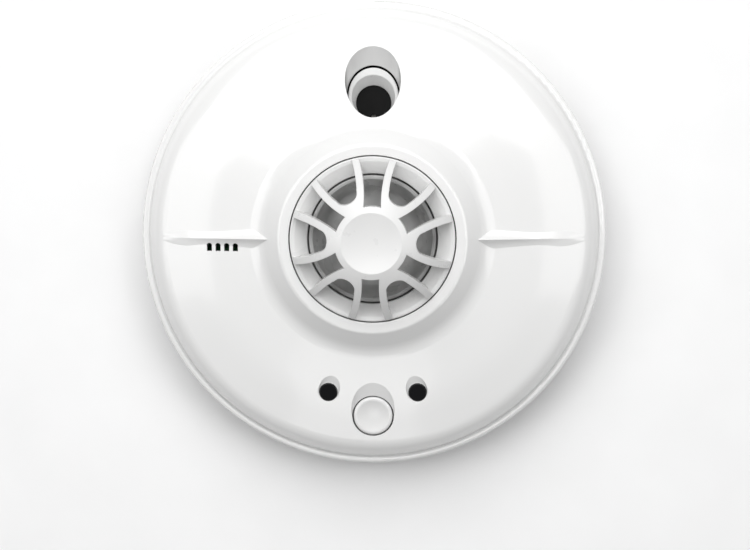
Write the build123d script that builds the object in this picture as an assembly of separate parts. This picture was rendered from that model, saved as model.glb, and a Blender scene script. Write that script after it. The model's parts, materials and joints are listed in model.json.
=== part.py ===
from build123d import *

import os
from math import atan2, cos, hypot, radians, sin, tan

# Mains heat alarm for a ceiling: a head that twists onto a mounting plate. Millimetres.
# Origin: centre of the mounting face. +Z: out of the ceiling. +Y: towards the sounder outlet.

# ---- front cover, as (radius, height) corners of its turned outline ----
RIM_RADIUS = 74.0
SKIRT_Z = 10.0
LIP_Z = 18.6
VALLEY = (71.9, 18.0)
SHOULDER = (69.5, 24.3)
MID_FACE = (54.0, 27.7)
FOOT = (36.0, 29.9)
COLLAR_EDGE = (29.3, 35.5)
COLLAR_RADIUS = 26.1
COLLAR_TUBE_Z = 24.0
COVER_WALL = 2.0
CREST_Y = -0.35
RIDGE_START, RIDGE_END = 30.0, 66.5
RIDGE_HEIGHT = 2.6
VENT_X = -51.5
VENT_STEP = 2.76
VENT_COUNT = 4
VENT_OUTLINE = (0.8, -4.05, -2.6, -1.5)

# ---- sounder well, an oblique elliptical funnel ----
WELL_Z = 21.5
WELL_Y = 44.4
WELL_HALF = (8.4, 9.5)
WELL_SLOPES_ABOVE = (0.05, 0.42, 0.74)
WELL_SLOPES_BELOW = (0.083, 0.333, 0.45)
WELL_FLOOR_Z = 21.2
WELL_TOP_Z = 34.0
HORN_GAP = 0.5
HORN_BASE_Z = 17.0
HORN_BASE_Y = 41.8
THROAT_RADIUS = 5.6
MOUTH_RADIUS = 6.85
MOUTH_Y = 43.9

# ---- test button and indicator windows ----
BUTTON_Y = -57.2
BUTTON_RADIUS = 6.2
BUTTON_GAP = 0.4
BUTTON_DROP = 1.2
BUTTON_SCOOP = (11.2, 1.25)
WINDOW_RING = 51.3
WINDOW_ANGLE = 16.0
WINDOW_RADIUS = 2.95
WINDOW_DROP = 0.9
WINDOW_SCOOP = (5.6, 0.9)
WINDOW_BEVEL = 0.5

# ---- heat cage and chamber ----
CAGE_TURN = -1.4
RING_RADIUS = 25.75
RING_INNER = 20.35
HUB_RADIUS = 11.2
HUB_TOP = 50.2
DISH_RADIUS = 9.3
CAGE_DOME = ((DISH_RADIUS, HUB_TOP), (17.6, 45.4), (25.3, 37.0))
CAGE_UNDER = ((8.0, 45.8), (16.0, 41.2), (21.6, 34.6))
SPOKE_WIDTH = 2.2
CROTCH = (16.3, 2.7, 3.55)
SPOKE_PAIRS = 6
CHAMBER_RADIUS = 19.95
CHAMBER_RIM_Z = 33.0

# ---- rear housing, board and what stands on it ----
HOUSING_Z = 10.2
FLOOR_Z = 12.2
BOARD_Z = 14.0
BOARD_TOP = 15.6
BOARD_RADIUS = 62.0
HOUSING_RADIUS = 71.5
SCREW_RING = 65.5
SCREW_ANGLES = (45, 135, 225, 315)
BOARD_POSTS = ((45, 26), (-45, 26), (-14, -38))
CELLS = ((-37.0, 12.5), (-32.0, 37.0))
CAPSULE_Y = 40.5
CAPSULE_RADIUS = 18.2
CAPSULE_TOP = 16.5
LEAD_RADIUS = 0.45

# ---- mounting plate and bayonet ----
PLATE_RADIUS = 68.0
PLATE_FLOOR = 2.0
PLATE_RIM_Z = 9.9
RIB_ANGLES = (45, 135, 195, 300, 345)
CABLE_HOLE = 12.0
SLOT_X = 30.0
SLOT_LENGTH = 10.0
SLOT_WIDTH = 4.6
LUG_ANGLES = (30, 150, 270)
LUG_SPAN = 13.0
LUG_RING = (59.5, 61.5, 64.5)
LEDGE_Z = (7.0, 8.6)
BLADE_RINGS = (37.0, 42.0, 47.0)
BLADE_ANGLE = 220.0
BLADE_SPAN = 8.0
BLADE_THICK = 0.8
CHANNEL_WIDTH = 2.5
TWIST = 15.0
TERMINAL_X = (-15.0, -5.0, 5.0, 15.0)
TERMINAL_Y = 29.0
TERMINAL_TOP = 8.4

CENTRED = (Align.CENTER, Align.CENTER, Align.MIN)


# ---- shape helpers ----
def disc(radius, bottom, top, x=0.0, y=0.0):
    """Upright cylinder between two heights."""
    return Pos(x, y, bottom) * Cylinder(radius, top - bottom, align=CENTRED)


def tube(outer, inner, bottom, top, x=0.0, y=0.0):
    """Upright tube between two heights."""
    return disc(outer, bottom, top, x, y) - disc(inner, bottom - 1, top + 1, x, y)


def block(width, depth, bottom, top, x=0.0, y=0.0):
    """Upright box centred on (x, y)."""
    return Pos(x, y, bottom) * Box(width, depth, top - bottom, align=CENTRED)


def around(angle, radius=0.0):
    """Place on a circle about Z, turned with it."""
    return Rot(0, 0, angle) * Pos(radius, 0, 0)


def rounded(corners):
    """Closed face through (x, y, radius) corners, each rounded by a tangent arc of its radius."""
    edges = []
    ends = []
    for i, (x, y, radius) in enumerate(corners):
        before = Vector(corners[i - 1][0] - x, corners[i - 1][1] - y).normalized()
        after = Vector(*corners[(i + 1) % len(corners)][:2]) - Vector(x, y)
        after = after.normalized()
        corner = Vector(x, y)
        if radius == 0:
            ends.append((corner, corner))
            continue
        half = radians(before.get_angle(after)) / 2
        reach = radius / tan(half)
        middle = (before + after).normalized() * (radius / sin(half) - radius)
        start, end = corner + before * reach, corner + after * reach
        edges.append(Edge.make_three_point_arc(start, corner + middle, end))
        ends.append((start, end))
    for i, (start, _) in enumerate(ends):
        edges.append(Edge.make_line(ends[i - 1][1], start))
    return Face(Wire(edges))


def turned(corners):
    """Solid of revolution about Z from (radius, height, rounding) corners."""
    return revolve(Plane.XZ * rounded(corners), Axis.Z)


def sector(outer, inner, bottom, top, angle, span):
    """Piece of an upright tube, span degrees wide and centred on angle."""
    reach = outer * 1.5
    side = reach * tan(radians(span / 2))
    wedge = Polyline((0, 0), (reach, -side), (reach, side), close=True)
    wedge = Pos(0, 0, bottom) * extrude(make_face(wedge), amount=top - bottom)
    return Rot(0, 0, angle) * (tube(outer, inner, bottom, top) & wedge)


def face_height(radius):
    """Height of the cover's face at a radius outside the collar."""
    inner, outer = (FOOT, MID_FACE) if radius < MID_FACE[0] else (MID_FACE, SHOULDER)
    share = (radius - inner[0]) / (outer[0] - inner[0])
    return inner[1] + share * (outer[1] - inner[1])


def face_plane(radius, reach=3.0):
    """Plane through the cover's face at (0, -radius) and reach uphill of it, with local +Y uphill."""
    slope = atan2(face_height(radius - reach) - face_height(radius), reach)
    return Plane(
        origin=(0, -radius, face_height(radius)),
        x_dir=(1, 0, 0),
        z_dir=(0, -sin(slope), cos(slope)),
    )


def scoop(radius, hole, reach, depth):
    """Cutter for the hollow uphill of a round hole at (0, -radius)."""
    plane = face_plane(radius, reach)
    above = 2.0
    grow = (above + depth) / depth
    tip = hole + (reach - hole) * grow
    floor = plane.offset(-depth) * Circle(hole)
    mouth_shape = Ellipse(hole + 0.25 * grow, (tip + hole) / 2)
    mouth = plane.offset(above) * (Pos(0, (tip - hole) / 2) * mouth_shape)
    return loft([floor, mouth])


def plug(radius, ring, bottom, drop):
    """Upright round plug at (0, -ring), flush with the face at its outer edge and drop below uphill."""
    low = face_height(ring + radius)
    high = face_height(ring - radius) - drop
    slope = atan2(high - low, 2 * radius)
    top = Plane(
        origin=(0, -ring, (low + high) / 2),
        x_dir=(1, 0, 0),
        z_dir=(0, -sin(slope), cos(slope)),
    )
    lid = top * Box(4 * radius, 4 * radius, 20, align=CENTRED)
    return disc(radius, bottom, high + 5, 0, -ring) - lid, top


# ---- front cover ----
OUTSIDE = [
    (RIM_RADIUS, LIP_Z, 0.9),
    (*VALLEY, 0.8),
    (*SHOULDER, 8.0),
    (*MID_FACE, 100.0),
    (*FOOT, 9.0),
    (*COLLAR_EDGE, 1.6),
]


def cover_shell():
    inside = [
        (COLLAR_RADIUS, COLLAR_EDGE[1], 0.3),
        (COLLAR_RADIUS, COLLAR_TUBE_Z, 0),
        (COLLAR_RADIUS + COVER_WALL, COLLAR_TUBE_Z, 0),
        (COLLAR_RADIUS + COVER_WALL, COLLAR_EDGE[1] - 2.3, 0),
        (FOOT[0] - 0.8, FOOT[1] - 2.1, 7.0),
        (MID_FACE[0] - 0.3, MID_FACE[1] - 2.1, 90.0),
        (SHOULDER[0] - 1.5, SHOULDER[1] - 1.8, 6.0),
        (VALLEY[0] - 2.0, VALLEY[1] - 1.5, 0),
        (RIM_RADIUS - COVER_WALL, VALLEY[1] - 1.5, 0),
        (RIM_RADIUS - COVER_WALL, SKIRT_Z, 0),
    ]
    return turned([(RIM_RADIUS, SKIRT_Z, 0), *OUTSIDE, *inside])


def cover_envelope():
    """The cover's outer shape, filled, which trims what is added inside it."""
    return turned([(RIM_RADIUS, SKIRT_Z, 0), *OUTSIDE, (0, COLLAR_EDGE[1], 0), (0, SKIRT_Z, 0)])


def ridge(side):
    """Crease from the collar to the shoulder: a crest with hollow flanks that fades outwards."""
    sections = []
    for x in (RIDGE_START, FOOT[0], 45.0, MID_FACE[0], RIDGE_END):
        fade = (RIDGE_END - x) / (RIDGE_END - RIDGE_START)
        height = RIDGE_HEIGHT * fade - 0.15 * (1 - fade)
        half = 1.6 + 4.2 * fade
        level = face_height(x)
        flanks = [
            ThreePointArc((s * half, -0.3), (s * 0.35 * half, 0.28 * height), (0, height)) for s in (-1, 1)
        ]
        foot = Polyline((-half, -0.3), (-half, -1.2), (half, -1.2), (half, -0.3))
        plane = Plane(origin=(side * x, CREST_Y, level), x_dir=(0, 1, 0), z_dir=(1, 0, 0))
        sections.append(plane * make_face([*flanks, foot]))
    return loft(sections)


def funnel(height, extra):
    """The sounder well's section at a height, larger all round by extra."""
    rise = height - WELL_Z
    widen_x, widen_y, lean = WELL_SLOPES_ABOVE if rise > 0 else WELL_SLOPES_BELOW
    half_x = WELL_HALF[0] + widen_x * rise + extra
    half_y = WELL_HALF[1] + widen_y * rise + extra
    return Pos(0, WELL_Y + lean * rise, height) * Ellipse(half_x, half_y)


def funnel_solid(bottom, top, extra):
    """The well between two heights, as one loft below its waist and one above."""
    waist = funnel(WELL_Z, extra)
    return loft([funnel(bottom, extra), waist]) + loft([waist, funnel(top, extra)])


def window_bevel():
    """Cutter for the bevel round an indicator window's hole."""
    plane = face_plane(WINDOW_RING)
    floor = plane.offset(-WINDOW_BEVEL) * Circle(WINDOW_RADIUS)
    mouth = plane.offset(WINDOW_BEVEL) * Circle(WINDOW_RADIUS + 2 * WINDOW_BEVEL)
    return loft([floor, mouth])


def vent(index):
    """Cutter for one vent slot: square at the bottom and arched at the top."""
    half, bottom, spring, top = VENT_OUTLINE
    sides = Polyline((-half, spring), (-half, bottom), (half, bottom), (half, spring))
    arch = ThreePointArc((-half, spring), (0, top), (half, spring))
    slot = extrude(make_face([sides, arch]), amount=COLLAR_EDGE[1] - SKIRT_Z)
    return Pos(VENT_X + index * VENT_STEP, CREST_Y, SKIRT_Z) * slot


def front_cover():
    envelope = cover_envelope()
    cover = cover_shell()
    for side in (-1, 1):
        cover += ridge(side)
    well = funnel_solid(WELL_FLOOR_Z, WELL_Z + 9, 1.6)
    button_hole = BUTTON_RADIUS + BUTTON_GAP
    guide = tube(button_hole + 1.2, button_hole, 19.0, LIP_Z + 9, 0, BUTTON_Y)
    added = [well, guide]
    for side in (-1, 1):
        sleeve = tube(WINDOW_RADIUS + 1.3, WINDOW_RADIUS, 22.0, LIP_Z + 10, 0, -WINDOW_RING)
        added.append(Rot(0, 0, side * WINDOW_ANGLE) * sleeve)
    for angle in SCREW_ANGLES:
        added.append(around(angle, SCREW_RING) * disc(2.9, BOARD_Z, LIP_Z + 6))
    for piece in added:
        cover += piece & envelope
    cover -= funnel_solid(WELL_FLOOR_Z - 1, WELL_TOP_Z, 0)
    cover -= scoop(-BUTTON_Y, button_hole, *BUTTON_SCOOP)
    cover -= disc(button_hole, SKIRT_Z, 40, 0, BUTTON_Y)
    for side in (-1, 1):
        turn = Rot(0, 0, side * WINDOW_ANGLE)
        cover -= turn * scoop(WINDOW_RING, WINDOW_RADIUS + 0.1, *WINDOW_SCOOP)
        cover -= turn * window_bevel()
        cover -= turn * disc(WINDOW_RADIUS, SKIRT_Z, 40, 0, -WINDOW_RING)
    for index in range(VENT_COUNT):
        cover -= vent(index)
    for angle in SCREW_ANGLES:
        cover -= around(angle, SCREW_RING) * disc(1.2, BOARD_Z - 1, 21.0)
    return cover


# ---- heat cage and chamber ----
def spoke_pair():
    """Plan of two bowed spokes from one root, with a round crotch between them."""
    plan = Pos(HUB_RADIUS, 0) * Rectangle(3.0, 3.6)
    for side in (-1, 1):
        path = ThreePointArc((9.4, 0.8 * side), (15.4, 4.5 * side), (25.2, 7.4 * side))
        plan += trace(path, SPOKE_WIDTH)
    middle, length, width = CROTCH
    web = make_face(Polyline((9, -1), (middle, -4.2), (middle, 4.2), (9, 1), close=True))
    return plan + (web - Pos(middle, 0) * Ellipse(length, width))


def cage_dome():
    """The domed shell that the hub and spokes are cut from."""
    top = ThreePointArc(*CAGE_DOME)
    under = ThreePointArc(*reversed(CAGE_UNDER))
    foot = Polyline(CAGE_DOME[2], (CAGE_DOME[2][0], CAGE_UNDER[2][1]), CAGE_UNDER[2])
    middle = Polyline(CAGE_UNDER[0], (0, CAGE_UNDER[0][1]), (0, HUB_TOP), CAGE_DOME[0])
    return revolve(Plane.XZ * make_face([top, under, foot, middle]), Axis.Z)


def heat_cage():
    dome = cage_dome()
    ring = turned(
        [
            (RING_RADIUS, 28.0, 0),
            (RING_RADIUS, 35.4, 0.4),
            (24.3, 35.1, 0.6),
            (RING_INNER, 33.1, 0.4),
            (RING_INNER, 31.6, 0),
            (RING_RADIUS - 1.5, 32.8, 0),
            (RING_RADIUS - 1.5, 28.0, 0),
        ]
    )
    plan = Sketch() + Circle(HUB_RADIUS)
    for index in range(SPOKE_PAIRS):
        plan += Rot(0, 0, index * 360 / SPOKE_PAIRS) * spoke_pair()
    cage = ring + (extrude(Pos(0, 0, 30) * plan, amount=25) & dome)
    dish_depth = 1.2
    ball = (DISH_RADIUS**2 + dish_depth**2) / (2 * dish_depth)
    cage -= Pos(0, 0, HUB_TOP - dish_depth + ball) * Sphere(ball)
    return Rot(0, 0, CAGE_TURN) * cage


def sensor_chamber():
    cup = turned(
        [
            (2.2, 22.7, 0),
            (15.3, 22.7, 0),
            (17.6, 26.5, 0),
            (RING_RADIUS - 0.1, 26.5, 0),
            (RING_RADIUS - 0.1, 28.0, 0),
            (18.6, 28.0, 0),
            (CHAMBER_RADIUS, CHAMBER_RIM_Z, 0.4),
            (CHAMBER_RADIUS - 1.3, CHAMBER_RIM_Z, 0.4),
            (14.6, 24.2, 4.0),
            (6.4, 24.2, 1.5),
            (4.4, 29.0, 0.6),
            (2.2, 29.0, 0),
        ]
    )
    return cup + tube(15.3, 14.0, BOARD_TOP, 22.7)


def thermistor():
    return Pos(0, 0, 38.5) * scale(Sphere(1.6), (1, 1, 1.3))


def thermistor_leads():
    wires = [disc(0.3, BOARD_Z, 37.0, x, 0) for x in (-0.8, 0.8)]
    bead = thermistor()
    return [wire - bead for wire in wires]


def thermistor_holder():
    return disc(2.2, BOARD_TOP, 34.0) - disc(0.3, 15, 35, -0.8, 0) - disc(0.3, 15, 35, 0.8, 0)


# ---- sounder ----
def sounder_horn():
    body = loft([funnel(HORN_BASE_Z, -HORN_GAP), funnel(WELL_Z, -HORN_GAP)])
    body += disc(8.8, HORN_BASE_Z, HORN_BASE_Z + 1.0, 0, HORN_BASE_Y)
    throat = Pos(0, HORN_BASE_Y, HORN_BASE_Z) * Circle(THROAT_RADIUS)
    mouth = Pos(0, MOUTH_Y, WELL_Z) * Circle(MOUTH_RADIUS)
    body -= loft([throat, mouth])
    rim = body.edges().filter_by_position(Axis.Z, WELL_Z - 0.01, WELL_Z + 0.01)
    return fillet(rim, 0.4)


def sounder_gasket():
    return tube(8.8, 6.0, CAPSULE_TOP, HORN_BASE_Z, 0, HORN_BASE_Y)


def sounder_capsule():
    can = disc(CAPSULE_RADIUS, FLOOR_Z, CAPSULE_TOP, 0, CAPSULE_Y)
    can -= disc(CAPSULE_RADIUS - 1.6, FLOOR_Z + 1.0, CAPSULE_TOP - 1.2, 0, CAPSULE_Y)
    can += tube(CAPSULE_RADIUS - 1.6, 15.0, FLOOR_Z + 1.0, FLOOR_Z + 1.5, 0, CAPSULE_Y)
    return can - disc(0.7, CAPSULE_TOP - 2, CAPSULE_TOP + 1, 0, HORN_BASE_Y - 4.2)


def piezo_plate():
    return disc(15.9, FLOOR_Z + 1.5, FLOOR_Z + 1.75, 0, CAPSULE_Y)


def piezo_ceramic():
    return disc(11.0, FLOOR_Z + 1.75, FLOOR_Z + 1.95, 0, CAPSULE_Y)


def sounder_leads():
    """Two stiff wires from the capsule's side, over the board's edge and down onto it."""
    leads = []
    for x in (-3.0, 3.0):
        start = Pos(x, CAPSULE_Y - CAPSULE_RADIUS - 1, BOARD_TOP + LEAD_RADIUS)
        wire = start * Rot(90, 0, 0) * Cylinder(LEAD_RADIUS, 5)
        leads.append(wire - disc(CAPSULE_RADIUS, FLOOR_Z, CAPSULE_TOP + 1, 0, CAPSULE_Y))
    return leads


# ---- test button, switch and indicators ----
def test_button():
    cap, top = plug(BUTTON_RADIUS, -BUTTON_Y, 18.6, BUTTON_DROP)
    bowl_radius, bowl_depth = 5.1, 0.75
    ball = (bowl_radius**2 + bowl_depth**2) / (2 * bowl_depth)
    rim_edges = cap.edges().group_by(Axis.Z)[-1]
    cap = fillet(rim_edges, 0.8)
    cap -= top.offset(ball - bowl_depth) * Sphere(ball)
    cap -= disc(BUTTON_RADIUS - 1.3, 18.0, 23.6, 0, BUTTON_Y)
    cap += tube(BUTTON_RADIUS + 1.2, BUTTON_RADIUS - 1.3, 17.6, 18.7, 0, BUTTON_Y)
    return cap + disc(1.6, 21.1, 24.0, 0, BUTTON_Y)


def switch_body():
    body = block(6.0, 6.0, BOARD_TOP, 19.1, 0, BUTTON_Y)
    return body - disc(1.85, 17.2, 20.0, 0, BUTTON_Y)


def switch_plunger():
    return disc(1.75, 18.2, 21.0, 0, BUTTON_Y)


def window(side):
    lens, _ = plug(WINDOW_RADIUS, WINDOW_RING, 21.2, WINDOW_DROP)
    lens = chamfer(lens.edges().group_by(Axis.Z)[-1], 0.25)
    return Rot(0, 0, side * WINDOW_ANGLE) * lens


def indicator_led(side):
    """Round 3 mm diode on its two legs, under a window."""
    led = disc(1.5, 17.4, 19.4, 0, -WINDOW_RING) + disc(1.9, 17.4, 18.2, 0, -WINDOW_RING)
    led += Pos(0, -WINDOW_RING, 19.4) * Sphere(1.5)
    for x in (-1.27, 1.27):
        led += disc(0.25, BOARD_TOP, 17.5, x, -WINDOW_RING)
    return Rot(0, 0, side * WINDOW_ANGLE) * led


# ---- circuit board and its parts ----
def circuit_board():
    board = disc(BOARD_RADIUS, BOARD_Z, BOARD_TOP)
    board -= disc(CAPSULE_RADIUS + 0.6, BOARD_Z - 1, BOARD_TOP + 1, 0, CAPSULE_Y)
    for x, y in BOARD_POSTS:
        board -= disc(1.3, BOARD_Z - 1, BOARD_TOP + 1, x, y)
    for x in (-0.8, 0.8):
        board -= disc(0.3, BOARD_Z - 1, BOARD_TOP + 1, x, 0)
    for angle in SCREW_ANGLES:
        board -= around(angle, SCREW_RING) * disc(4.0, BOARD_Z - 1, BOARD_TOP + 1)
    for ring in BLADE_RINGS:
        board -= blade_slot(ring, BOARD_Z - 1, BOARD_TOP + 1)
    return board


def blade_slot(ring, bottom, top):
    """The space that one contact blade fills between two heights."""
    half = BLADE_THICK / 2
    return sector(ring + half, ring - half, bottom, top, BLADE_ANGLE, BLADE_SPAN)


def board_screws():
    screw = disc(1.1, 12.8, BOARD_TOP) + disc(2.2, BOARD_TOP, 17.0)
    return [Pos(x, y, 0) * screw for x, y in BOARD_POSTS]


def backup_cells():
    cells = [disc(12.0, 16.2, 21.2, x, y) for x, y in CELLS]
    return [chamfer(cell.edges().filter_by(GeomType.CIRCLE), 0.4) for cell in cells]


def cell_tabs():
    """Welded tabs: one under each cell and one over it, each with its leg on the board."""
    tabs = []
    for x, y in CELLS:
        tabs.append(block(8, 5, 16.0, 16.2, x - 9.5, y) + block(0.4, 3, BOARD_TOP, 16.2, x - 13.3, y))
        tabs.append(block(9, 5, 21.2, 21.4, x - 8.0, y) + block(0.2, 5, 17.0, 21.4, x - 12.4, y))
    return tabs


def film_capacitor():
    box = block(8.0, 18.0, BOARD_TOP + 0.3, 24.0, 33, 8)
    box = fillet(box.edges().filter_by(Axis.Z), 0.8)
    for y in (0.5, 15.5):
        box += block(1, 1, BOARD_TOP, BOARD_TOP + 0.4, 33, y)
    return box


def smoothing_capacitors():
    cans = []
    for x, y in ((45, -12), (36, -21)):
        can = disc(4.0, BOARD_TOP, 24.4, x, y)
        cans.append(fillet(can.edges().filter_by(GeomType.CIRCLE), 0.5))
    return cans


def choke():
    """Drum choke: two flanges and a wound waist."""
    drum = disc(4.5, BOARD_TOP, 17.0) + disc(3.6, 17.0, 21.0) + disc(4.5, 21.0, 22.4)
    return Pos(27, -31, 0) * drum


def fuse():
    body = disc(4.1, 16.4, 23.6, 48, 8)
    body = fillet(body.edges().filter_by(GeomType.CIRCLE), 0.6)
    return body + disc(0.4, BOARD_TOP, 16.4, 45.5, 8) + disc(0.4, BOARD_TOP, 16.4, 50.5, 8)


def chip(width, depth, height, legs, x, y):
    """Surface-mount package with gull legs along its two long sides."""
    body = block(width, depth, BOARD_TOP + 0.1, BOARD_TOP + height, x, y)
    body = chamfer(body.faces().sort_by(Axis.Z)[-1].edges(), 0.2)
    pitch = depth / (legs + 1)
    for index in range(legs):
        leg_y = y + (index - (legs - 1) / 2) * pitch
        body += block(width + 2.4, 0.45, BOARD_TOP, BOARD_TOP + 0.4, x, leg_y)
    return body


def chip_resistors():
    """Two rows of plain resistors, clear of the board screw beside them."""
    screw_x, screw_y = BOARD_POSTS[2]
    resistors = []
    for column in range(5):
        for y in (-33.0, -36.5):
            x = -20 + 3.2 * column
            if hypot(x - screw_x, y - screw_y) > 5:
                resistors.append(block(2.0, 1.25, BOARD_TOP, BOARD_TOP + 0.6, x, y))
    return resistors


# ---- rear housing and its fasteners ----
def rear_housing():
    housing = disc(HOUSING_RADIUS, HOUSING_Z, FLOOR_Z)
    housing += tube(HOUSING_RADIUS - 0.2, HOUSING_RADIUS - 1.7, FLOOR_Z, 15.8)
    for angle in SCREW_ANGLES:
        housing += around(angle, SCREW_RING) * disc(4.2, FLOOR_Z, BOARD_Z)
    for x, y in BOARD_POSTS:
        housing += disc(2.8, FLOOR_Z, BOARD_Z, x, y)
    for angle in LUG_ANGLES:
        post, neck, toe = LUG_RING
        housing += sector(neck, post, 5.0, HOUSING_Z, angle, LUG_SPAN)
        housing += sector(toe, post, 5.0, 6.6, angle, LUG_SPAN)
    for angle in SCREW_ANGLES:
        housing -= around(angle, SCREW_RING) * disc(2.9, HOUSING_Z - 1, 11.8)
        housing -= around(angle, SCREW_RING) * disc(1.25, HOUSING_Z, BOARD_Z + 1)
    for x, y in BOARD_POSTS:
        housing -= disc(1.1, 12.8, BOARD_Z + 1, x, y)
    for ring in BLADE_RINGS:
        housing -= blade_slot(ring, HOUSING_Z - 1, FLOOR_Z + 1)
    return housing


def housing_screws():
    screw = disc(1.2, 11.8, 20.0) + disc(2.6, 10.4, 11.8)
    screw -= block(3.2, 0.7, 10.0, 11.1)
    screw -= block(0.7, 3.2, 10.0, 11.1)
    return [around(angle, SCREW_RING) * screw for angle in SCREW_ANGLES]


def contact_blades():
    return [blade_slot(ring, 5.2, 16.6) for ring in BLADE_RINGS]


# ---- mounting plate and wiring ----
def fixing_slot(side):
    slot = SlotOverall(SLOT_LENGTH, SLOT_WIDTH)
    return Pos(side * SLOT_X, 0, -1) * extrude(slot, amount=8)


def mounting_plate():
    plate = disc(PLATE_RADIUS, 0, PLATE_FLOOR)
    plate += tube(PLATE_RADIUS, PLATE_RADIUS - 2, 0, PLATE_RIM_Z)
    plate += tube(CABLE_HOLE + 2, CABLE_HOLE, 0, 4.5)
    for angle in RIB_ANGLES:
        plate += around(angle, 49.5) * block(34, 1.6, PLATE_FLOOR, 3.4)
    for side in (-1, 1):
        plate += Pos(side * SLOT_X, 0, 0) * extrude(SlotOverall(18, 12), amount=3.0)
    for angle in LUG_ANGLES:
        plate += sector(PLATE_RADIUS - 1, 62.2, *LEDGE_Z, angle, LUG_SPAN + 0.6)
        stop = angle - LUG_SPAN / 2 - 2.0
        plate += sector(PLATE_RADIUS - 1, 62.2, 1, LEDGE_Z[1], stop, 1.6)
    for side in (-1, 1):
        plate -= fixing_slot(side)
        plate += disc(2.6, 1, 5.0, side * 9, -20) - disc(1.2, 2, 8, side * 9, -20)
    return plate - disc(CABLE_HOLE, -1, 6)


def terminal_block():
    body = block(42, 12, PLATE_FLOOR, TERMINAL_TOP, 0, TERMINAL_Y)
    middle = BLADE_ANGLE + TWIST / 2
    arm = sector(50.0, 34.5, PLATE_FLOOR, 9.0, middle, TWIST + BLADE_SPAN + 6)
    for ring in BLADE_RINGS:
        half = CHANNEL_WIDTH / 2
        arm -= sector(ring + half, ring - half, 4.0, 10.0, middle, TWIST + BLADE_SPAN + 3)
    for x in TERMINAL_X:
        body -= block(6.4, 10.0, 3.4, 7.4, x, TERMINAL_Y - 2.8)
        body -= disc(2.0, 5.0, 9.0, x, TERMINAL_Y)
    return [body, arm]


def contact_clips():
    clips = []
    for ring in BLADE_RINGS:
        inner, outer = ring - CHANNEL_WIDTH / 2, ring + CHANNEL_WIDTH / 2
        clip = sector(outer, inner, 4.0, 4.5, BLADE_ANGLE, BLADE_SPAN)
        clip += sector(outer, outer - 0.45, 4.0, 8.6, BLADE_ANGLE, BLADE_SPAN)
        clip += sector(inner + 0.45, inner, 4.0, 8.6, BLADE_ANGLE, BLADE_SPAN)
        clips.append(clip)
    return clips


def terminal_clamps():
    clamp = block(6.0, 6.0, 3.4, 7.4) - block(4.2, 8.0, 4.2, 6.4)
    return [Pos(x, TERMINAL_Y - 1, 0) * (clamp - Pos(0, 1, 0) * disc(1.5, 5, 9)) for x in TERMINAL_X]


def terminal_screws():
    screw = disc(1.5, 5.2, 8.0) - block(3.4, 0.6, 7.4, 9.0)
    return [Pos(x, TERMINAL_Y, 0) * screw for x in TERMINAL_X]


def terminal_cover():
    lid = block(43.6, 13.0, TERMINAL_TOP, 9.3, 0, TERMINAL_Y + 0.4)
    for side in (-1, 1):
        lid += block(0.7, 8.0, 4.0, 9.3, side * 21.4, TERMINAL_Y)
    return fillet(lid.edges().filter_by(Axis.Z).group_by(Axis.Y)[0], 0.3)


def cable_clamp():
    strap = block(23.5, 6.0, 5.0, 6.4, 0, -20)
    for side in (-1, 1):
        strap -= disc(1.5, 4, 8, side * 9, -20)
    lying = Pos(0, -20, 4.6) * Rot(90, 0, 0)
    strap += lying * Cylinder(4.8, 6) & block(12, 6, 5.0, 10, 0, -20)
    return strap - lying * Cylinder(3.6, 8)


def cable_clamp_screws():
    screw = disc(1.2, 2.4, 6.4) + disc(2.5, 6.4, 7.8)
    screw -= block(3.4, 0.7, 7.1, 9)
    screw -= block(0.7, 3.4, 7.1, 9)
    return [Pos(side * 9, -20, 0) * screw for side in (-1, 1)]


# ---- write every node ----
NODES = {
    "mounting_plate": mounting_plate(),
    "terminal_block": terminal_block(),
    "contact_clips": contact_clips(),
    "terminal_clamps": terminal_clamps(),
    "terminal_screws": terminal_screws(),
    "terminal_cover": terminal_cover(),
    "cable_clamp": cable_clamp(),
    "cable_clamp_screws": cable_clamp_screws(),
    "front_cover": front_cover(),
    "rear_housing": rear_housing(),
    "housing_screws": housing_screws(),
    "heat_cage": heat_cage(),
    "sensor_chamber": sensor_chamber(),
    "thermistor": thermistor(),
    "thermistor_leads": thermistor_leads(),
    "thermistor_holder": thermistor_holder(),
    "circuit_board": circuit_board(),
    "board_screws": board_screws(),
    "sounder_horn": sounder_horn(),
    "sounder_gasket": sounder_gasket(),
    "sounder_capsule": sounder_capsule(),
    "piezo_plate": piezo_plate(),
    "piezo_ceramic": piezo_ceramic(),
    "sounder_leads": sounder_leads(),
    "power_window": window(-1),
    "alarm_window": window(1),
    "power_led": indicator_led(-1),
    "alarm_led": indicator_led(1),
    "test_button": test_button(),
    "switch_body": switch_body(),
    "switch_plunger": switch_plunger(),
    "backup_cells": backup_cells(),
    "cell_tabs": cell_tabs(),
    "film_capacitor": film_capacitor(),
    "smoothing_capacitors": smoothing_capacitors(),
    "choke": choke(),
    "fuse": fuse(),
    "bridge_rectifier": chip(6.4, 8.2, 2.6, 2, 14, -33),
    "microcontroller": chip(7.5, 12.8, 2.5, 9, 13, -21),
    "driver_chip": chip(3.9, 5.0, 1.6, 4, -14, -22),
    "chip_resistors": chip_resistors(),
    "contact_blades": contact_blades(),
}

os.makedirs("parts", exist_ok=True)
for name, shape in NODES.items():
    solids = [s for piece in (shape if isinstance(shape, list) else [shape]) for s in piece.solids()]
    export_step(solids[0] if len(solids) == 1 else Compound(solids), f"parts/{name}.step")
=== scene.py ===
import json
from math import cos, radians, sin

import bpy
from mathutils import Matrix, Vector


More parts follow.
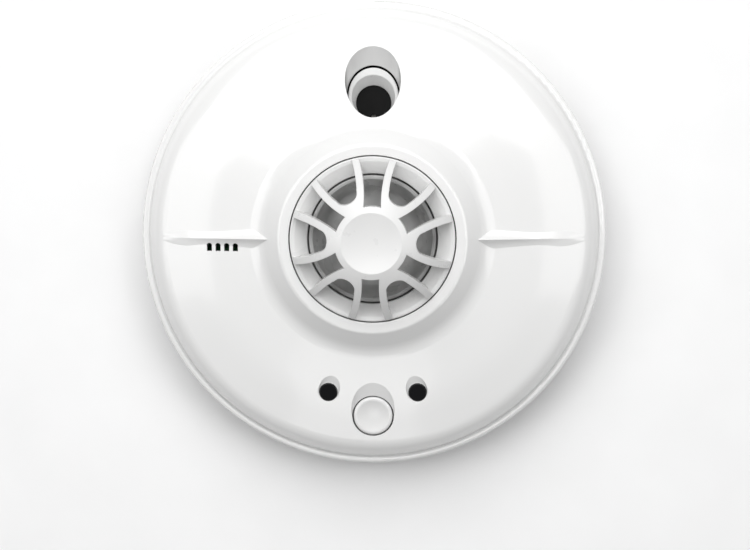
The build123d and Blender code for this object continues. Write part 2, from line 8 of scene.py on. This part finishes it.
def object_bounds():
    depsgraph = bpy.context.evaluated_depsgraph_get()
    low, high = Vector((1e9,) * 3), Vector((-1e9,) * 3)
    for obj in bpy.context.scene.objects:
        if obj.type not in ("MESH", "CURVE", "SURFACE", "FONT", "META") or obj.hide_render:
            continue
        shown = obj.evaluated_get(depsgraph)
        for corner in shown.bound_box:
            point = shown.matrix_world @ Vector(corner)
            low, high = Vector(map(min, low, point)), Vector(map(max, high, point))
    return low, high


# Looks of a ceiling heat alarm lying on its mounting face. Metres, in the CAD frame:
# +Z out of the ceiling, +Y towards the sounder outlet.

# ---- camera ----
CAMERA_DISTANCE = 0.6
CAMERA_LEAN = radians(6.15)
CAMERA_SIDE = radians(1.3)
CAMERA_LENS = 89.8
CAMERA_SENSOR = 36.0
CAMERA_CLIP_START = 0.01
AIM_SIDE = 0.0004
AIM_BELOW_CENTRE = 0.0131

# ---- lights: place in metres, side of the square in metres, energy in watts ----
KEY_PLACE = (-0.05, 0.6, 0.84)
KEY_SIZE = 1.1
KEY_ENERGY = 11.6
SIDE_PLACE = (0.72, 0.02, 0.86)
SIDE_SIZE = 0.62
SIDE_ENERGY = 2.3
FILL_PLACE = (-0.06, -0.5, 0.9)
FILL_SIZE = 0.35
FILL_ENERGY = 0.6
AMBIENT = 0.11

# ---- floor ----
FLOOR_SIZE = 4.0
FLOOR_GAP = 0.0001
FLOOR_DARK = (0.9, 0.9, 0.9)
FLOOR_LIGHT = (0.92, 0.92, 0.92)
FLOOR_WAVES = 40.0
FLOOR_DETAIL = 2.0
FLOOR_ROUGHNESS = 0.9
FLOOR_SPECULAR = 0.1

# ---- surfaces: noise in waves per metre with octaves of detail, depths and edges in metres ----
NOISE_LOW = 0.3
NOISE_HIGH = 0.7
CLOUD_WAVES = 24.0
CLOUD_DETAIL = 2.0
CHAMBER_CLOUD_WAVES = 95.0
GLOSS_WAVES = 160.0
GLOSS_DETAIL = 4.0
GRAIN_WAVES = 9000.0
CHIP_GRAIN_WAVES = 6000.0
COARSE_GRAIN_WAVES = 5000.0
FOAM_WAVES = 3000.0
GRAIN_DETAIL = 2.0
GRAIN_DEPTH = 0.000004
COARSE_GRAIN_DEPTH = 0.00001
CHIP_GRAIN_DEPTH = 0.00002
FOAM_DEPTH = 0.00005
GRAIN_STRENGTH = 0.35
GLOSS_SPREAD = 0.15
COAT_ROUGHNESS = 0.08
SOFT_EDGE = 0.0002
CHAMBER_EDGE = 0.00025
CAGE_EDGE = 0.00035
BEVEL_SAMPLES = 6

TARNISH_WAVES = 300.0
TARNISH_DETAIL = 5.0
TARNISH_SHADE = 0.2
MARK_WAVES = 4000.0
MARK_DETAIL = 3.0
MARK_SPREAD = 0.3
MARK_STRENGTH = 0.25
MARK_DEPTH = 0.000004
METAL_EDGE = 0.0001

TRACK_SCALE = 160.0
TRACK_WIDTH = 0.03
TRACK_DEPTH = 0.00003
TRACK_STRENGTH = 0.3
MASK_WAVES = 200.0
MASK_DETAIL = 3.0
MASK_ROUGHNESS = (0.25, 0.4)

# ---- colours ----
WHITE = (0.83, 0.83, 0.825)
CAGE_WHITE = (0.76, 0.76, 0.755)
HOUSING_WHITE = (0.74, 0.74, 0.735)
# painted shade: the sensor cup's white plastic is greyed to stand in for the shadow inside the cup
CHAMBER_PAINTED_SHADE_GREY = (0.56, 0.56, 0.555)
WINDOW_BLACK = (0.004, 0.004, 0.005)
CAPSULE_BLACK = (0.005, 0.005, 0.005)
TERMINAL_GREY = (0.09, 0.095, 0.1)
CHIP_BLACK = (0.012, 0.012, 0.013)
CAPACITOR_YELLOW = (0.6, 0.38, 0.03)
FUSE_BROWN = (0.09, 0.03, 0.012)
DIODE_GREEN = (0.03, 0.42, 0.08)
DIODE_RED = (0.5, 0.02, 0.015)
STEEL_GREY = (0.6, 0.6, 0.61)
BRASS_YELLOW = (0.72, 0.5, 0.2)
PIEZO_WHITE = (0.7, 0.68, 0.62)
BEAD_BLACK = (0.012, 0.01, 0.009)
GASKET_BLACK = (0.012, 0.012, 0.012)
SLEEVE_RED = (0.4, 0.02, 0.015)
MASK_GREEN = (0.012, 0.13, 0.045)
MASK_GREEN_LIGHTER = (0.015, 0.15, 0.05)
TRACK_GREEN = (0.04, 0.28, 0.1)

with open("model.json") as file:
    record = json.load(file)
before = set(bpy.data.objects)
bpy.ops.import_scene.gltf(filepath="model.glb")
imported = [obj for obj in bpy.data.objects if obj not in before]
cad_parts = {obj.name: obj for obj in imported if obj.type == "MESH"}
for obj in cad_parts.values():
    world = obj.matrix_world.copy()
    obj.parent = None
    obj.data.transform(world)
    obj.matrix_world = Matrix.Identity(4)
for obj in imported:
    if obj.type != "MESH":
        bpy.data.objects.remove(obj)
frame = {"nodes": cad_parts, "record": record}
nodes = frame["nodes"]
cad_low, cad_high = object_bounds()
rim_level = cad_high.z / 3


# ---- material helpers ----
def new_material(name):
    """Empty node material with its Principled shader and output."""
    material = bpy.data.materials.new(name)
    material.use_nodes = True
    tree = material.node_tree
    tree.nodes.clear()
    shader = tree.nodes.new("ShaderNodeBsdfPrincipled")
    output = tree.nodes.new("ShaderNodeOutputMaterial")
    tree.links.new(shader.outputs["BSDF"], output.inputs["Surface"])
    return material, tree, shader


def noise(tree, waves, detail, stretch=(1, 1, 1)):
    """Noise in object space; waves is per metre."""
    coordinates = tree.nodes.new("ShaderNodeTexCoord")
    mapping = tree.nodes.new("ShaderNodeMapping")
    mapping.inputs["Scale"].default_value = stretch
    texture = tree.nodes.new("ShaderNodeTexNoise")
    texture.inputs["Scale"].default_value = waves
    texture.inputs["Detail"].default_value = detail
    tree.links.new(coordinates.outputs["Object"], mapping.inputs["Vector"])
    tree.links.new(mapping.outputs["Vector"], texture.inputs["Vector"])
    return texture


def spread(tree, source, low, high):
    """Maps the middle of the noise's range to low and high."""
    node = tree.nodes.new("ShaderNodeMapRange")
    node.inputs["From Min"].default_value = NOISE_LOW
    node.inputs["From Max"].default_value = NOISE_HIGH
    node.inputs["To Min"].default_value = low
    node.inputs["To Max"].default_value = high
    tree.links.new(source, node.inputs["Value"])
    return node.outputs["Result"]


def two_tone(tree, factor, first, second):
    """Colour that runs from first to second with factor."""
    ramp = tree.nodes.new("ShaderNodeValToRGB")
    ramp.color_ramp.elements[0].position = NOISE_LOW
    ramp.color_ramp.elements[1].position = NOISE_HIGH
    ramp.color_ramp.elements[0].color = (*first, 1)
    ramp.color_ramp.elements[1].color = (*second, 1)
    tree.links.new(factor, ramp.inputs["Fac"])
    return ramp.outputs["Color"]


def relief(tree, shader, height, strength, depth, edge_radius=0.0):
    """Bump of depth metres from a height, over edges that are softened by edge_radius metres."""
    bump = tree.nodes.new("ShaderNodeBump")
    bump.inputs["Strength"].default_value = strength
    bump.inputs["Distance"].default_value = depth
    tree.links.new(height, bump.inputs["Height"])
    if edge_radius:
        bevel = tree.nodes.new("ShaderNodeBevel")
        bevel.samples = BEVEL_SAMPLES
        bevel.inputs["Radius"].default_value = edge_radius
        tree.links.new(bevel.outputs["Normal"], bump.inputs["Normal"])
    tree.links.new(bump.outputs["Normal"], shader.inputs["Normal"])


def plastic(name, colour, roughness, grain=GRAIN_WAVES, grain_depth=GRAIN_DEPTH, edge=SOFT_EDGE,
            shade=0.03, coat=0.0, specular=0.5, cloud=CLOUD_WAVES):
    """Moulded plastic: cloudiness that darkens by shade, uneven gloss, mould grain and softened edges."""
    material, tree, shader = new_material(name)
    clouds = noise(tree, cloud, CLOUD_DETAIL)
    darker = tuple(channel * (1 - shade) for channel in colour)
    tree.links.new(two_tone(tree, clouds.outputs["Fac"], darker, colour), shader.inputs["Base Color"])
    gloss = noise(tree, GLOSS_WAVES, GLOSS_DETAIL)
    tree.links.new(
        spread(tree, gloss.outputs["Fac"], roughness * (1 - GLOSS_SPREAD), roughness * (1 + GLOSS_SPREAD)),
        shader.inputs["Roughness"],
    )
    grain_noise = noise(tree, grain, GRAIN_DETAIL)
    relief(tree, shader, grain_noise.outputs["Fac"], GRAIN_STRENGTH, grain_depth, edge)
    shader.inputs["Specular IOR Level"].default_value = specular
    shader.inputs["Coat Weight"].default_value = coat
    shader.inputs["Coat Roughness"].default_value = COAT_ROUGHNESS
    return material


def metal(name, colour, roughness, stretch):
    """Plated metal with fine rolling marks, drawn out by stretch, and slight tarnish."""
    material, tree, shader = new_material(name)
    tarnish = noise(tree, TARNISH_WAVES, TARNISH_DETAIL)
    darker = tuple(channel * (1 - TARNISH_SHADE) for channel in colour)
    tree.links.new(two_tone(tree, tarnish.outputs["Fac"], darker, colour), shader.inputs["Base Color"])
    marks = noise(tree, MARK_WAVES, MARK_DETAIL, stretch)
    tree.links.new(
        spread(tree, marks.outputs["Fac"], roughness * (1 - MARK_SPREAD), roughness * (1 + MARK_SPREAD)),
        shader.inputs["Roughness"],
    )
    relief(tree, shader, marks.outputs["Fac"], MARK_STRENGTH, MARK_DEPTH, METAL_EDGE)
    shader.inputs["Metallic"].default_value = 1.0
    return material


def solder_mask():
    """Green solder mask over copper tracks that show as raised lighter lines."""
    material, tree, shader = new_material("solder_mask")
    coordinates = tree.nodes.new("ShaderNodeTexCoord")
    tracks = tree.nodes.new("ShaderNodeTexBrick")
    tracks.inputs["Scale"].default_value = TRACK_SCALE
    tracks.inputs["Mortar Size"].default_value = TRACK_WIDTH
    tracks.inputs["Color1"].default_value = (*MASK_GREEN, 1)
    tracks.inputs["Color2"].default_value = (*MASK_GREEN_LIGHTER, 1)
    tracks.inputs["Mortar"].default_value = (*TRACK_GREEN, 1)
    tree.links.new(coordinates.outputs["Object"], tracks.inputs["Vector"])
    tree.links.new(tracks.outputs["Color"], shader.inputs["Base Color"])
    shine = noise(tree, MASK_WAVES, MASK_DETAIL)
    tree.links.new(spread(tree, shine.outputs["Fac"], *MASK_ROUGHNESS), shader.inputs["Roughness"])
    relief(tree, shader, tracks.outputs["Fac"], TRACK_STRENGTH, TRACK_DEPTH)
    return material


# ---- materials ----
def coarse_plastic(name, colour, roughness, shade, specular=0.5):
    """Plastic with the coarser grain of a back or inside part."""
    return plastic(
        name, colour, roughness, grain=COARSE_GRAIN_WAVES, grain_depth=COARSE_GRAIN_DEPTH,
        shade=shade, specular=specular,
    )


def chip_epoxy():
    """Matt black moulding compound of the board's parts."""
    return plastic(
        "chip_epoxy", CHIP_BLACK, roughness=0.55,
        grain=CHIP_GRAIN_WAVES, grain_depth=CHIP_GRAIN_DEPTH, shade=0.2,
    )


def gasket_foam():
    """Open black foam."""
    return plastic(
        "gasket_foam", GASKET_BLACK, roughness=0.8,
        grain=FOAM_WAVES, grain_depth=FOAM_DEPTH, shade=0.3,
    )


def chamber_painted_shade():
    """Cup plastic in a grey that is painted shade for the cup's shadowed inside, with wide soft blotches.
    """
    return plastic(
        "chamber_painted_shade", CHAMBER_PAINTED_SHADE_GREY, roughness=0.3,
        shade=0.5, edge=CHAMBER_EDGE, cloud=CHAMBER_CLOUD_WAVES,
    )


MATERIALS = {
    "cover_white": plastic("cover_plastic", WHITE, roughness=0.2, shade=0.012, coat=0.5),
    "cage_white": plastic("cage_plastic", CAGE_WHITE, roughness=0.3, shade=0.015, edge=CAGE_EDGE),
    "button_white": plastic("button_plastic", CAGE_WHITE, roughness=0.24, shade=0.012, coat=0.1),
    "housing_white": coarse_plastic("housing_plastic", HOUSING_WHITE, roughness=0.45, shade=0.04),
    "window_black": plastic("window_plastic", WINDOW_BLACK, roughness=0.08, shade=0.3, coat=0.5),
    "capsule_black": coarse_plastic(
        "capsule_plastic", CAPSULE_BLACK, roughness=0.5, shade=0.2, specular=0.12,
    ),
    "terminal_grey": coarse_plastic("terminal_plastic", TERMINAL_GREY, roughness=0.45, shade=0.1),
    "board_green": solder_mask(),
    "chip_black": chip_epoxy(),
    "film_yellow": plastic("capacitor_case", CAPACITOR_YELLOW, roughness=0.35, shade=0.06),
    "fuse_brown": plastic("fuse_case", FUSE_BROWN, roughness=0.35, shade=0.1),
    "led_green": plastic("green_diode", DIODE_GREEN, roughness=0.12, shade=0.08, coat=0.3),
    "led_red": plastic("red_diode", DIODE_RED, roughness=0.12, shade=0.08, coat=0.3),
    "steel": metal("plated_steel", STEEL_GREY, roughness=0.32, stretch=(1, 1, 0.1)),
    "brass": metal("brass", BRASS_YELLOW, roughness=0.3, stretch=(1, 0.1, 1)),
    "piezo_white": plastic("piezo_silvering", PIEZO_WHITE, roughness=0.4, shade=0.1),
    "bead_glass": plastic("bead_epoxy", BEAD_BLACK, roughness=0.18, shade=0.2, coat=0.3),
    "gasket_rubber": gasket_foam(),
    "lead_red": plastic("lead_sleeve", SLEEVE_RED, roughness=0.4, shade=0.1),
}
# the sensor cup gets its own grey, painted shade for its shadowed inside
OWN_MATERIALS = {"sensor_chamber": chamber_painted_shade()}


def dress_nodes():
    """Gives every CAD node its own material, or else the material of its slot."""
    for part in frame["record"]["subparts"]:
        name = part["node"]
        material = OWN_MATERIALS.get(name, MATERIALS[part["material_slot"]])
        for slot in nodes[name].material_slots:
            slot.material = material


# ---- scene ----
def add_camera():
    """Camera nearly above the face, leaning towards the sounder outlet."""
    data = bpy.data.cameras.new("camera")
    data.lens = CAMERA_LENS
    data.sensor_width = CAMERA_SENSOR
    data.clip_start = CAMERA_CLIP_START
    camera = bpy.data.objects.new("camera", data)
    bpy.context.scene.collection.objects.link(camera)
    aim = Vector((AIM_SIDE, -AIM_BELOW_CENTRE, rim_level))
    back = Vector((
        sin(CAMERA_SIDE) * cos(CAMERA_LEAN),
        sin(CAMERA_LEAN),
        cos(CAMERA_SIDE) * cos(CAMERA_LEAN),
    ))
    right = Vector((0, 1, 0)).cross(back).normalized()
    up = back.cross(right)
    camera.matrix_world = Matrix(
        (
            (right.x, up.x, back.x, aim.x + back.x * CAMERA_DISTANCE),
            (right.y, up.y, back.y, aim.y + back.y * CAMERA_DISTANCE),
            (right.z, up.z, back.z, aim.z + back.z * CAMERA_DISTANCE),
            (0, 0, 0, 1),
        )
    )
    bpy.context.scene.camera = camera


def add_light(name, place, size, energy):
    """Square soft light that faces the object."""
    data = bpy.data.lights.new(name, "AREA")
    data.shape = "SQUARE"
    data.size = size
    data.energy = energy
    light = bpy.data.objects.new(name, data)
    bpy.context.scene.collection.objects.link(light)
    light.location = place
    light.rotation_mode = "QUATERNION"
    light.rotation_quaternion = (-Vector(place)).to_track_quat("-Z", "Y")


def add_floor():
    """Wide pale paper just under the mounting face."""
    half = FLOOR_SIZE / 2
    mesh = bpy.data.meshes.new("floor")
    corners = [(-half, -half, 0), (half, -half, 0), (half, half, 0), (-half, half, 0)]
    mesh.from_pydata(corners, [], [(0, 1, 2, 3)])
    floor = bpy.data.objects.new("floor", mesh)
    bpy.context.scene.collection.objects.link(floor)
    floor.location.z = cad_low.z - FLOOR_GAP
    material, tree, shader = new_material("floor_paper")
    texture = noise(tree, FLOOR_WAVES, FLOOR_DETAIL)
    colours = two_tone(tree, texture.outputs["Fac"], FLOOR_DARK, FLOOR_LIGHT)
    tree.links.new(colours, shader.inputs["Base Color"])
    shader.inputs["Roughness"].default_value = FLOOR_ROUGHNESS
    shader.inputs["Specular IOR Level"].default_value = FLOOR_SPECULAR
    mesh.materials.append(material)


def light_studio():
    """Faint white surroundings, a large key, one light on each side and a small fill."""
    world = bpy.data.worlds.new("studio")
    bpy.context.scene.world = world
    world.use_nodes = True
    background = world.node_tree.nodes["Background"]
    background.inputs["Color"].default_value = (1, 1, 1, 1)
    background.inputs["Strength"].default_value = AMBIENT
    add_light("key", KEY_PLACE, KEY_SIZE, KEY_ENERGY)
    for name, side in (("side_left", -1), ("side_right", 1)):
        place = (side * SIDE_PLACE[0], *SIDE_PLACE[1:])
        add_light(name, place, SIDE_SIZE, SIDE_ENERGY)
    add_light("fill", FILL_PLACE, FILL_SIZE, FILL_ENERGY)
    bpy.context.scene.view_settings.view_transform = "Standard"


dress_nodes()
add_camera()
add_floor()
light_studio()
